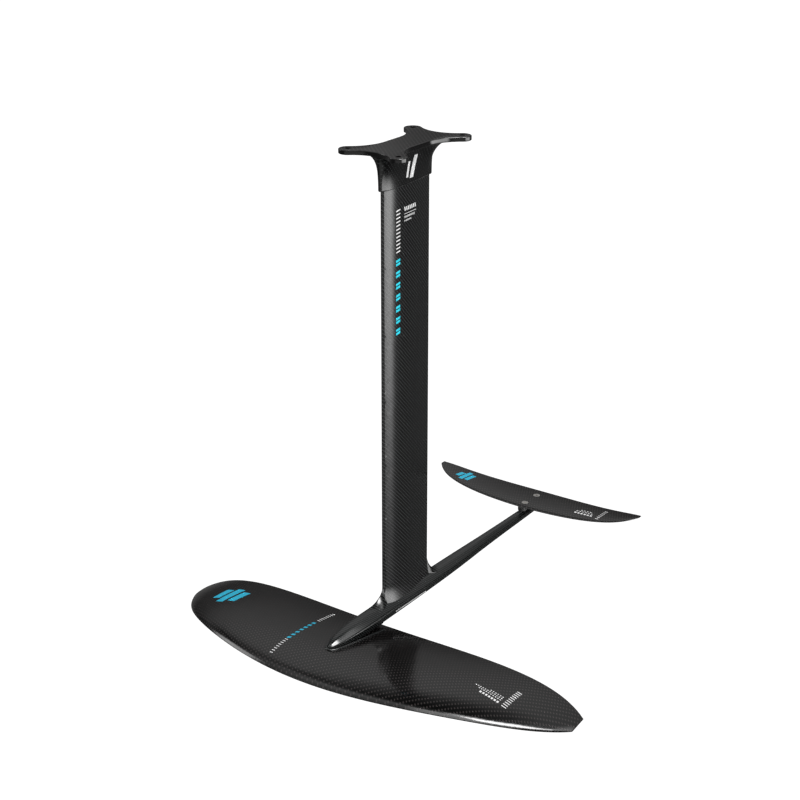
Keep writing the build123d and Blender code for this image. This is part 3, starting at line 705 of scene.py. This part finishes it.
def printed(name, corners, surface, body, ink):
    """Slabs over corner quads: bilinear points p(u, v), moved along the surface's normal."""
    a, b, c, d = (corners[:, k, None, None] for k in range(4))
    s = np.linspace(0, 1, ALONG)[:, None, None]
    t = np.linspace(0, 1, ACROSS)[:, None]
    u, v = np.moveaxis((1 - s) * ((1 - t) * a + t * d) + s * ((1 - t) * b + t * c), -1, 0)
    place = surface(u, v)
    normal = np.cross(surface(u + PROBE, v) - place, surface(u, v + PROBE) - place)
    normal /= np.linalg.norm(normal, axis=-1, keepdims=True)
    outwards = np.sign(normal[..., 2:] + normal[..., 1:2])     # all marks face up or to port
    top, bottom = place + PROUD * normal * outwards, place - SUNK * normal * outwards
    return skin(name, np.concatenate([top, bottom[:, :, ::-1]], axis=2), body, ink)


def turned(corners):
    """The same bars with their two directions swapped."""
    return corners[..., ::-1]


# %% [markdown]
# ## The rim round the nose
#
# The nose plugs into the wing, and a raised rim of laminate runs round it.  A curve with a bevel
# would make it too, but the rim is flat-topped, so a superellipse
# (sign(cos a) |cos a|^(2/3), sign(sin a) |sin a|^(2/3)) is carried along the nose's own outline
# and follows the wing's surface.

# %% A flat-topped bead along the nose
RIM_GAP, RIM_W, RIM_H = 0.5, 4.4, 2.2
RIM_SUNK = 1.0                       # how far the bead goes into the wing
RIM_POWER = 2 / 3.0                  # 2 / n of a superellipse of order 3
RIM_STATIONS, RIM_AROUND = 120, 20

swing = np.linspace(-pi / 2, pi / 2, RIM_STATIONS)
nose_x = SEAM_X + (NOSE_X - SEAM_X) * np.cos(swing)
nose_y = np.sign(swing) * FUSE_HALF_W * np.sqrt(1 - np.cos(swing)**NOSE_BEND)
step = np.stack([np.gradient(nose_y, swing), -np.gradient(nose_x, swing)], axis=-1)
step /= np.linalg.norm(step, axis=1, keepdims=True)
turn = np.linspace(0, 2 * pi, RIM_AROUND, endpoint=False)
across = np.sign(np.cos(turn)) * np.abs(np.cos(turn))**RIM_POWER
above = np.sign(np.sin(turn)) * np.abs(np.sin(turn))**RIM_POWER
distance = RIM_GAP + RIM_W / 2 * (1 + across)
rim_x = nose_x[:, None] + step[:, :1] * distance
rim_y = nose_y[:, None] + step[:, 1:] * distance
rim = wing_top(rim_x, rim_y)
rim[..., 2] += above * np.where(above > 0, RIM_H, RIM_SUNK)
skin("nose_rim", rim, "front_wing", twill_fuselage)

# %% [markdown]
# The mast carries a depth scale and a block of small print, the collar two slanted bars.  The
# wing has a scale beside the nose, another near its port tip, and slanted stripes to starboard,
# which the stabiliser repeats in small.

# %% Marks on mast, collar and fuselage
small_print = np.concatenate([
    bars(15, -19, 7, -95.0, -101.0, fill=0.58, slant=-1.5),
    bars(15, -19, 1, -105.2, -105.9, fill=1.0),
    bars(14, -16, 9, -108.8, -111.8, fill=0.5),
    bars(14, -6, 6, -115.0, -117.2, fill=0.55)])
printed("mast_scale_ticks", turned(bars(-95.0, -164.0, 12, 25.5, 35.3, fill=0.34, slant=-1.2)),
        mast_port, "mast", white_ink)
mast_blocks = np.concatenate([turned(bars(-171.0, -298.0, 7, 25.8, 35.8, fill=0.2, slant=-1.5)),
                              turned(bars(-176.5, -303.5, 7, 25.8, 35.8, fill=0.2, slant=-1.5))])
# The mast's cyan blocks take the cyan ink painted lighter, for the stronger light on its port
# side.
printed("mast_scale_blocks", mast_blocks, mast_port, "mast", lit_mast_ink)
printed("mast_small_print", small_print, mast_port, "mast", white_ink)
printed("collar_bars", np.concatenate([bars(12, 5, 1, -51.0, -27.0, fill=0.75, slant=-3.5),
                                       bars(2, -12, 1, -53.5, -20.0, fill=0.7, slant=-9.0)]),
        collar_port, "mast", white_ink)
printed("fuselage_small_print", bars(50, -35, 26, -751.2, -752.6, fill=0.62),
        fuselage_port, "mast", white_ink)

# %% Marks on the wing and the stabiliser
starboard_scale = np.concatenate([bars(254, 211, 8, -72.0, -77.6, fill=0.24),
                                  bars(134, 90, 8, -72.0, -77.6, fill=0.24)])
port_print = np.concatenate([turned(bars(242, 277, 7, 150, 154, fill=0.6)),
                             turned(bars(236, 277, 10, 144.5, 146.3, fill=0.5)),
                             turned(bars(228, 277, 12, 140.5, 142.0, fill=0.5)),
                             turned(bars(252, 277, 6, 136.5, 138.0, fill=0.5))])
printed("wing_scale_ticks", starboard_scale, wing_top, "front_wing", white_ink)
printed("wing_scale_blocks", bars(210, 137, 7, -72.2, -77.6, fill=0.45, slant=2.0),
        wing_top, "front_wing", cyan_ink)
wing_stripes = np.concatenate([turned(bars(-236, -250, 1, 109, 147, fill=1.0, slant=-4.0)),
                               turned(bars(-255, -269, 1, 100, 153, fill=1.0, slant=-5.0)),
                               turned(bars(-274, -288, 1, 106, 140, fill=1.0, slant=-4.0))])
printed("wing_stripes", wing_stripes, wing_top, "front_wing", cyan_ink)
printed("wing_port_ticks", bars(154, 104, 10, 281, 289, fill=0.3),
        wing_top, "front_wing", white_ink)
printed("wing_small_print", port_print, wing_top, "front_wing", white_ink)
stabiliser_print = np.concatenate([bars(-380, -421, 7, 137, 143, fill=0.24),
                                   turned(bars(93, 130, 6, -383.5, -387.5, fill=0.6)),
                                   turned(bars(93, 127, 6, -392, -394, fill=0.55)),
                                   turned(bars(99, 122, 4, -398, -400, fill=0.5))])
stabiliser_stripes = np.concatenate([
    turned(bars(-130, -138, 1, -413, -388, fill=1.0, slant=-3.0)),
    turned(bars(-141, -149, 1, -420, -386, fill=1.0, slant=-3.0)),
    turned(bars(-152, -160, 1, -410, -393, fill=1.0, slant=-3.0))])
printed("stabiliser_stripes", stabiliser_stripes, stabiliser_top, "stabiliser",
        cyan_ink)
printed("stabiliser_small_print", stabiliser_print, stabiliser_top, "stabiliser",
        white_ink)

# %% [markdown]
# ## Camera
#
# The foil stands on its front wing as in a catalogue, seen from its port bow and a little from
# above.  A long lens from afar keeps the mast's edges nearly parallel.


# %% The view
def toward(az, el):
    """Unit vector at that azimuth from +X and elevation from level, in degrees."""
    az, el = radians(az), radians(el)
    return Vector((cos(az) * cos(el), sin(az) * cos(el), sin(el)))


CAMERA_AZ, CAMERA_EL = 35.186, 21.623
CAMERA_FAR = 2.75065
LOOK_AT = Vector((-0.00555, -0.01454, -0.41357))
LENS, SENSOR = 79.257, 36.0

scene = bpy.context.scene
camera = bpy.data.objects.new("camera", bpy.data.cameras.new("camera"))
scene.collection.objects.link(camera)
camera.location = LOOK_AT + CAMERA_FAR * toward(CAMERA_AZ, CAMERA_EL)
camera.rotation_euler = toward(CAMERA_AZ, CAMERA_EL).to_track_quat("Z", "Y").to_euler()
camera.data.lens = LENS
camera.data.sensor_width = SENSOR
scene.camera = camera
print("camera at", [round(v, 2) for v in camera.location])

# %% [markdown]
# ## Light
#
# The light that falls on the foil is plain: an even dome, and one large lamp off the port bow
# that gives the shapes a side.  Glossy black hardly shows it.  What such a surface does show is
# the room, and the room comes next.

# %% One soft lamp
LAMP_AZ, LAMP_EL, LAMP_FAR = 60, 50, 3.2
LAMP_SIZE, LAMP_WATTS = 1.6, 30.0
lamp = bpy.data.lights.new("bow_lamp", "AREA")
lamp.shape = "DISK"
lamp.size = LAMP_SIZE
lamp.energy = LAMP_WATTS
holder = bpy.data.objects.new("bow_lamp", lamp)
scene.collection.objects.link(holder)
holder.location = LOOK_AT + LAMP_FAR * toward(LAMP_AZ, LAMP_EL)
holder.rotation_euler = toward(LAMP_AZ, LAMP_EL).to_track_quat("Z", "Y").to_euler()
print(f"{lamp.name}: {LAMP_WATTS} W from {LAMP_FAR} m")

# %% [markdown]
# ## The room that the gloss shows
#
# Mirrored rays see a room, painted by direction: dim at the floor, brightest halfway up and
# quieter overhead, with soft boxes that fade out at their rims.  A low one to port draws the
# band down the mast, and those off the port bow the gleam on the nose and along the wing's edge.
# A card has a negative brightness and takes light away.  A picture of a studio would do the
# same, but a few boxes can be named.

# %% Brightness by height, and the soft boxes
# elevation in degrees, brightness
ROOM_LEVELS = ((-90, 0.08), (-30, 0.11), (-12, 0.13), (0, 0.05), (12, 0.11), (25, 0.36),
               (38, 0.62), (52, 0.80), (66, 0.30), (78, 0.10), (90, 0.06))
# name: azimuth, elevation, half width, half height and soft edge in degrees, brightness
SOFT_BOXES = {
    "bow_port": (74, 47, 22, 6, 12, 25.0),
    "bow": (40, 37, 22, 13, 8, 3.2),
    "port_high": (118, 33, 14, 4, 9, 2.2),
    "port_low": (103, -11, 23, 4, 12, 6.0),
    "bow_low": (30, -22, 25, 8, 20, 0.5),
    "starboard": (-70, 12, 7, 5, 12, 3.8),
    "bow_starboard": (-20, 35, 20, 20, 20, 0.4),
    "dark_card": (-95, 42, 8, 12, 15, -0.35),
}


def room_brightness(tree):
    """Level by elevation, plus a smooth step of each box's distance |max(|p - centre| - half, 0)|.

    p is the direction's azimuth and elevation, so a box is a rectangle with round soft corners.
    """
    direction = add_node(tree, "ShaderNodeTexCoord").outputs["Generated"]
    part = add_node(tree, "ShaderNodeSeparateXYZ", {0: direction}).outputs
    azimuth = add_node(tree, "ShaderNodeMath", {0: part[1], 1: part[0]}, operation="ARCTAN2")
    elevation = add_node(tree, "ShaderNodeMath", {0: part[2]}, operation="ARCSINE")
    place = add_node(tree, "ShaderNodeCombineXYZ",
                     {0: azimuth.outputs[0], 1: elevation.outputs[0]})
    height = add_node(tree, "ShaderNodeMath", {0: part[2], 1: 0.5, 2: 0.5},
                      operation="MULTIPLY_ADD")
    ramp = add_node(tree, "ShaderNodeValToRGB", {"Fac": height.outputs[0]})
    stops = ramp.color_ramp.elements
    for k in (0, -1):
        stops[k].color = (ROOM_LEVELS[k][1],) * 3 + (1,)
    for el, level in ROOM_LEVELS[1:-1]:
        stops.new((1 + sin(radians(el))) / 2).color = (level, level, level, 1)
    total = ramp.outputs["Color"]
    for az, el, half_w, half_h, soft, strength in SOFT_BOXES.values():
        steps = (("SUBTRACT", (radians(az), radians(el), 0)), ("ABSOLUTE", (0, 0, 0)),
                 ("SUBTRACT", (radians(half_w), radians(half_h), 0)), ("MAXIMUM", (0, 0, 0)),
                 ("LENGTH", (0, 0, 0)))
        off = place.outputs[0]
        for step, vector in steps:
            node = add_node(tree, "ShaderNodeVectorMath", {0: off, 1: vector}, operation=step)
            off = node.outputs["Value" if step == "LENGTH" else "Vector"]
        limits = {"Value": off, "From Min": radians(soft), "From Max": 0.0, "To Max": strength}
        box = add_node(tree, "ShaderNodeMapRange", limits, interpolation_type="SMOOTHSTEP")
        added = add_node(tree, "ShaderNodeMath", {0: box.outputs[0], 1: total}, operation="ADD")
        total = added.outputs[0]
    return total


print(len(ROOM_LEVELS), "levels and", len(SOFT_BOXES), "soft boxes and cards")


# %% [markdown]
# ## Backdrop
#
# To the camera, and through glass, the backdrop is plain white.  Mirrored rays show the room,
# through the floor too, and all other rays bring the even light of the dome.  So the brightness
# of the picture's ground never comes from more light on the foil.  To mirror the white backdrop
# instead, give `white` for `room` in the world and `pale` for `clear` in the floor: black carbon
# then renders dark grey.

# %% World
DOME = 0.85                          # brightness of the even light on the foil
WHITE = (1, 1, 1, 1)


def three_ways(tree, lit, mirrored, seen):
    """One shader for light on the object, one for mirrored rays, one for the camera and glass."""
    rays = add_node(tree, "ShaderNodeLightPath").outputs
    direct = add_node(tree, "ShaderNodeMath",
                      {0: rays["Is Camera Ray"], 1: rays["Is Transmission Ray"]},
                      operation="MAXIMUM")
    other = add_node(tree, "ShaderNodeMixShader",
                     {0: rays["Is Glossy Ray"], 1: lit.outputs[0], 2: mirrored.outputs[0]})
    return add_node(tree, "ShaderNodeMixShader",
                    {0: direct.outputs[0], 1: other.outputs[0], 2: seen.outputs[0]})


world = bpy.data.worlds.new("studio")
scene.world = world
world.use_nodes = True
tree = world.node_tree
tree.nodes.clear()
dome = add_node(tree, "ShaderNodeBackground", {"Color": WHITE, "Strength": DOME})
room = add_node(tree, "ShaderNodeBackground", {"Color": WHITE, "Strength": room_brightness(tree)})
white = add_node(tree, "ShaderNodeBackground", {"Color": WHITE, "Strength": 1.0})
around_foil = three_ways(tree, dome, room, white)
add_node(tree, "ShaderNodeOutputWorld", {"Surface": around_foil.outputs[0]})
print("world:", len(tree.nodes), "nodes")

# %% Floor
FLOOR_Z, FLOOR_HALF = -1.15, 30.0    # metres
CARD_SHADE = 0.7                     # what the floor sends back as light
SHADOW_SHARE = 0.12                  # how much of the seen white takes the foil's shadow

floor_mesh = bpy.data.meshes.new("floor")
square = [(-FLOOR_HALF, -FLOOR_HALF, FLOOR_Z), (FLOOR_HALF, -FLOOR_HALF, FLOOR_Z),
          (FLOOR_HALF, FLOOR_HALF, FLOOR_Z), (-FLOOR_HALF, FLOOR_HALF, FLOOR_Z)]
floor_mesh.from_pydata(square, [], [(0, 1, 2, 3)])
floor = bpy.data.objects.new("floor", floor_mesh)
scene.collection.objects.link(floor)
paper = bpy.data.materials.new("floor_paper")
paper.use_nodes = True
tree = paper.node_tree
tree.nodes.clear()
card = add_node(tree, "ShaderNodeBsdfDiffuse", {"Color": (CARD_SHADE,) * 3 + (1,)})
clear = add_node(tree, "ShaderNodeBsdfTransparent")
shade = add_node(tree, "ShaderNodeBsdfDiffuse", {"Color": (SHADOW_SHARE,) * 3 + (1,)})
glow = add_node(tree, "ShaderNodeEmission", {"Color": WHITE, "Strength": 1.0})
pale = add_node(tree, "ShaderNodeAddShader", {0: shade.outputs[0], 1: glow.outputs[0]})
# Seen from below the paper is clear, so that it never hides the foil's underside.
behind = add_node(tree, "ShaderNodeNewGeometry").outputs["Backfacing"]
above = three_ways(tree, card, clear, pale)
sided = add_node(tree, "ShaderNodeMixShader",
                 {0: behind, 1: above.outputs[0], 2: clear.outputs[0]})
add_node(tree, "ShaderNodeOutputMaterial", {"Surface": sided.outputs[0]})
floor_mesh.materials.append(paper)
scene.view_settings.view_transform = "Standard"
print("floor:", 2 * FLOOR_HALF, "m square at", FLOOR_Z, "m")
